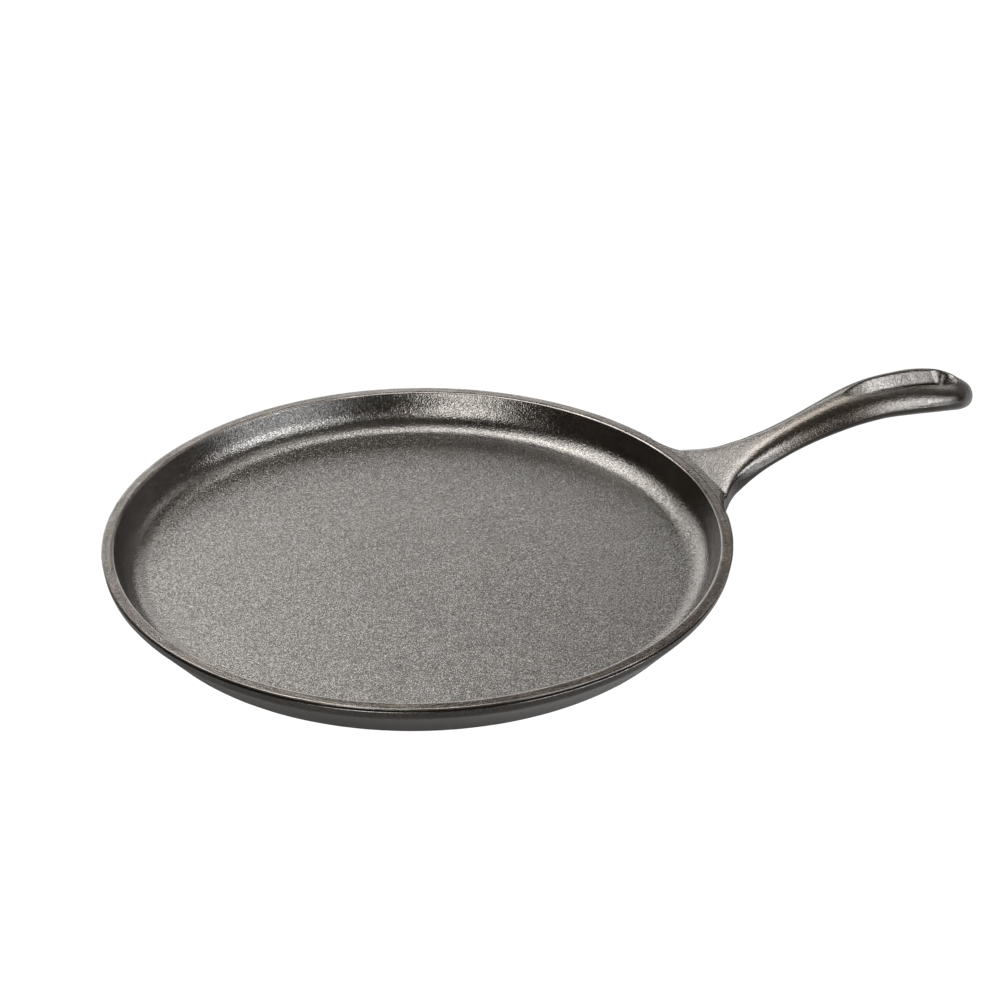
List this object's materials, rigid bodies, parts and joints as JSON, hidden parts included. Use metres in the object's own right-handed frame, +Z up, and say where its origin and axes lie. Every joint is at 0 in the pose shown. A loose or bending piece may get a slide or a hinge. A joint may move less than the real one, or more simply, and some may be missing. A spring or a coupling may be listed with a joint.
{
  "type": "griddle pan",
  "caption": "Round cast-iron griddle pan with a flat cooking plate, a low sloped rim and a long raised handle ending in a teardrop hanging hole.",
  "frame": {"origin": "centre of the flat base that the pan rests on", "axes": "+X along the handle, away from the pan; +Z up, out of the cooking surface"},
  "size_m": [0.4086, 0.27, 0.0451],
  "materials": {
    "cooking_surface": "seasoned, semi-gloss, fine pebbled sand-cast grain",
    "wall_iron": "seasoned, semi-gloss, smoother cast skin",
    "handle_iron": "seasoned, semi-gloss, fine pebbled sand-cast grain"
  },
  "bodies": {
    "root": {"cooking_plate": "cooking_surface", "rim_wall": "wall_iron", "handle_neck": "handle_iron", "handle_grip": "handle_iron"}
  },
  "joints": []
}
